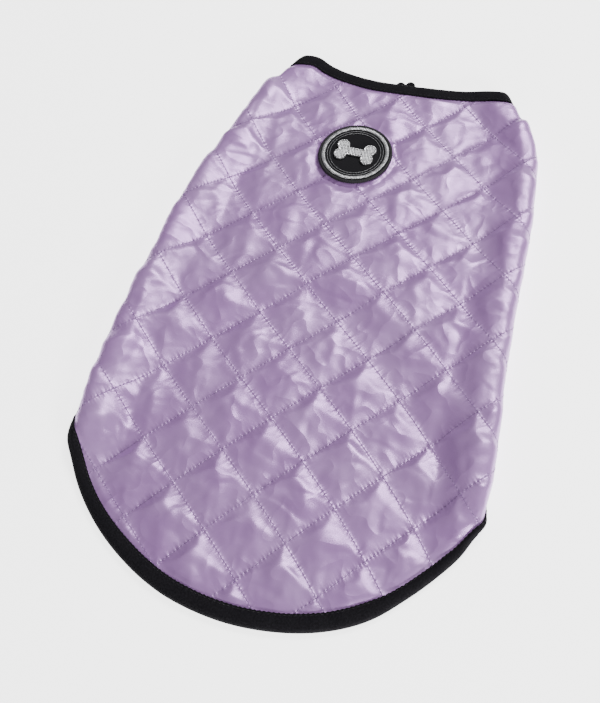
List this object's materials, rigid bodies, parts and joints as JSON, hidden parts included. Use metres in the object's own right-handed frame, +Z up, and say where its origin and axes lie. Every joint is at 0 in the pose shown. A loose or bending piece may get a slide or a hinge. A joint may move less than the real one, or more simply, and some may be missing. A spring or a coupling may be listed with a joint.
{
  "type": "dog winter coat",
  "caption": "Quilted pull-on dog coat laid flat: a cloth tube with a rounded tail, bound neck, hem and leg holes, and a round badge below the neck.",
  "frame": {"origin": "centre of the coat's own box, on the surface that it lies on", "axes": "+Y towards the neck, +Z up out of the quilted back, +X across the coat to its right as seen from above with the neck up"},
  "size_m": [0.279, 0.4496, 0.0201],
  "materials": {
    "quilted_cloth": "satin quilted polyester",
    "binding": "matte knit binding",
    "badge_cloth": "matte twill",
    "silver_thread": "shiny embroidery thread"
  },
  "bodies": {
    "root": {"back_panel": "quilted_cloth", "belly_panel": "quilted_cloth", "hem_binding_back": "binding", "hem_binding_belly": "binding", "neck_binding_back": "binding", "neck_binding_belly": "binding", "neck_binding_end": "binding", "armhole_binding_left": "binding", "armhole_binding_right": "binding", "badge_base": "badge_cloth", "badge_ring": "silver_thread", "badge_bone": "silver_thread"}
  },
  "joints": []
}
